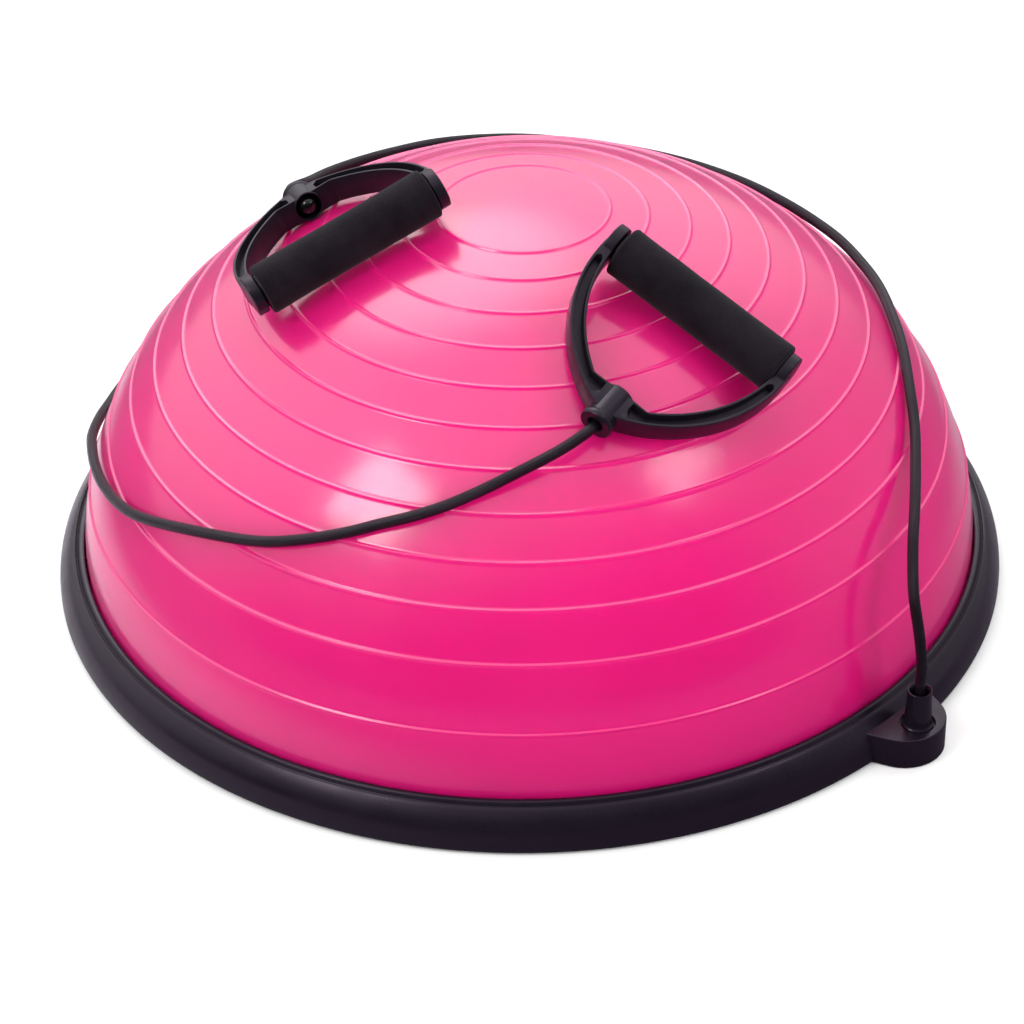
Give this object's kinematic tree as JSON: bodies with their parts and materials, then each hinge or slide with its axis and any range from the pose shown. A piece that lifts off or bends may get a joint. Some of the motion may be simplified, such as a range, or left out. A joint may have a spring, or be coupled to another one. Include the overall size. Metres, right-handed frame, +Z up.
{
  "type": "balance dome trainer",
  "caption": "Inflated half-ball balance trainer on a round rigid base, with resistance bands and D-shaped grips plugged into lugs on its rim.",
  "frame": {"origin": "on the floor under the middle of the base", "axes": "+Z up; +X towards the lug of band a, so the two lugs lie on the X axis"},
  "size_m": [0.627, 0.58, 0.277],
  "materials": {
    "dome_pvc": "soft glossy pink PVC skin",
    "ring_abs": "satin black moulded plastic",
    "plate_abs": "textured black moulded plastic",
    "screw_steel": "zinc plated steel",
    "foot_rubber": "dark grey non-slip rubber",
    "valve_rubber": "soft grey rubber",
    "plug_pvc": "pink PVC",
    "socket_plastic": "satin black plastic",
    "clip_steel": "spring steel",
    "wedge_plastic": "glossy black plastic",
    "band_latex": "smooth black latex tube",
    "bow_plastic": "satin black moulded plastic",
    "tube_plastic": "black plastic tube",
    "ball_plastic": "glossy black ball",
    "grip_foam": "matt black foam rubber"
  },
  "bodies": {
    "base": {"dome_bladder": "dome_pvc", "base_ring": "ring_abs", "base_plate": "plate_abs", "valve_seat": "valve_rubber", "base_screw_01": "screw_steel", "base_screw_02": "screw_steel", "base_screw_03": "screw_steel", "base_screw_04": "screw_steel", "base_screw_05": "screw_steel", "base_screw_06": "screw_steel", "base_screw_07": "screw_steel", "base_screw_08": "screw_steel", "base_screw_09": "screw_steel", "base_screw_10": "screw_steel", "base_screw_11": "screw_steel", "base_screw_12": "screw_steel", "rubber_foot_1": "foot_rubber", "rubber_foot_2": "foot_rubber", "rubber_foot_3": "foot_rubber", "rubber_foot_4": "foot_rubber", "rubber_foot_5": "foot_rubber", "rubber_foot_6": "foot_rubber", "rubber_foot_7": "foot_rubber", "rubber_foot_8": "foot_rubber", "resistance_band_a": "band_latex", "resistance_band_b": "band_latex"},
    "valve_plug": {"valve_plug": "plug_pvc"},
    "socket_a": {"band_socket_a": "socket_plastic", "socket_clip_a": "clip_steel", "band_wedge_a": "wedge_plastic"},
    "handle_a": {"handle_bow_a": "bow_plastic", "stopper_ball_a": "ball_plastic"},
    "grip_a": {"grip_tube_a": "tube_plastic", "foam_grip_a": "grip_foam"},
    "socket_b": {"band_socket_b": "socket_plastic", "socket_clip_b": "clip_steel", "band_wedge_b": "wedge_plastic"},
    "handle_b": {"handle_bow_b": "bow_plastic", "stopper_ball_b": "ball_plastic"},
    "grip_b": {"grip_tube_b": "tube_plastic", "foam_grip_b": "grip_foam"}
  },
  "joints": [
    {"name": "band_socket_a_swivel", "type": "hinge", "parent": "base", "child": "socket_a", "pos_m": [0.299, 0, 0.03], "axis": [0, 0, 1], "continuous": true},
    {"name": "handle_a_lift", "type": "hinge", "parent": "base", "child": "handle_a", "pos_m": [-0.18, -0.002, 0.192], "axis": [-0.4528, -0.817, -0.3571], "range_deg": [0, 45], "deforming": ["resistance_band_a"]},
    {"name": "grip_a_spin", "type": "hinge", "parent": "handle_a", "child": "grip_a", "pos_m": [-0.0481, -0.0977, 0.2437], "axis": [0.3635, 0.8691, 0.3355], "continuous": true},
    {"name": "band_socket_b_swivel", "type": "hinge", "parent": "base", "child": "socket_b", "pos_m": [-0.299, 0, 0.03], "axis": [0, 0, 1], "continuous": true},
    {"name": "handle_b_lift", "type": "hinge", "parent": "base", "child": "handle_b", "pos_m": [0.1145, -0.1615, 0.179], "axis": [0.8859, 0.0278, -0.463], "range_deg": [0, 45], "deforming": ["resistance_band_b"]},
    {"name": "grip_b_spin", "type": "hinge", "parent": "handle_b", "child": "grip_b", "pos_m": [0.1367, -0.0045, 0.2309], "axis": [-0.8853, -0.1833, 0.4274], "continuous": true},
    {"name": "valve_plug_pull", "type": "slide", "parent": "base", "child": "valve_plug", "axis": [0, 0, -1], "range_m": [0, 0.018]}
  ]
}
